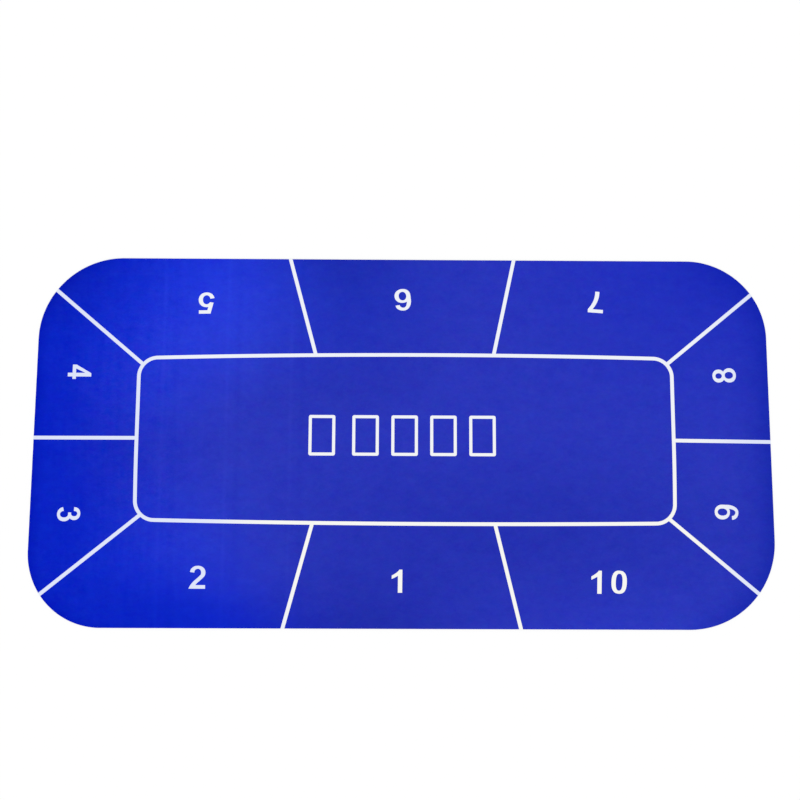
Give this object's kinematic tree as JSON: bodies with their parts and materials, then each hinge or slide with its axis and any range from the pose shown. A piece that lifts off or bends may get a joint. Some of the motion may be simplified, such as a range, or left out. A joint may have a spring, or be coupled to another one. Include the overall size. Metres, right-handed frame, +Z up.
{
  "type": "card table layout mat",
  "caption": "Flexible rubber-backed cloth mat for a card table, with numbered seats round its edge and a row of card boxes in the middle.",
  "frame": {"origin": "under the middle of the mat, on the surface it lies on", "axes": "+X along the mat to its right end, +Y across the mat to its back edge, where seats 5, 6 and 7 are, +Z up out of the playing face"},
  "size_m": [1.8, 0.9, 0.003],
  "materials": {
    "foamed_rubber": "closed-cell foamed rubber with a fine waffle underside, matt",
    "hot_melt_film": "translucent hot-melt adhesive film, satin",
    "blue_cloth": "short brushed polyester knit, royal blue, matt with a faint streaky nap",
    "white_film": "white heat-transfer film, satin, pressed into the nap"
  },
  "bodies": {
    "root": {"rubber_base": "foamed_rubber", "bond_film": "hot_melt_film", "cloth_face": "blue_cloth", "frame_line": "white_film", "divider_front_left": "white_film", "divider_front_right": "white_film", "divider_back_left": "white_film", "divider_back_right": "white_film", "divider_corner_front_left": "white_film", "divider_corner_front_right": "white_film", "divider_corner_back_left": "white_film", "divider_corner_back_right": "white_film", "divider_end_left": "white_film", "divider_end_right": "white_film", "card_box_1": "white_film", "card_box_2": "white_film", "card_box_3": "white_film", "card_box_4": "white_film", "card_box_5": "white_film", "numeral_1": "white_film", "numeral_2": "white_film", "numeral_3": "white_film", "numeral_4": "white_film", "numeral_5": "white_film", "numeral_6": "white_film", "numeral_7": "white_film", "numeral_8": "white_film", "numeral_9": "white_film", "numeral_10": "white_film"}
  },
  "joints": []
}
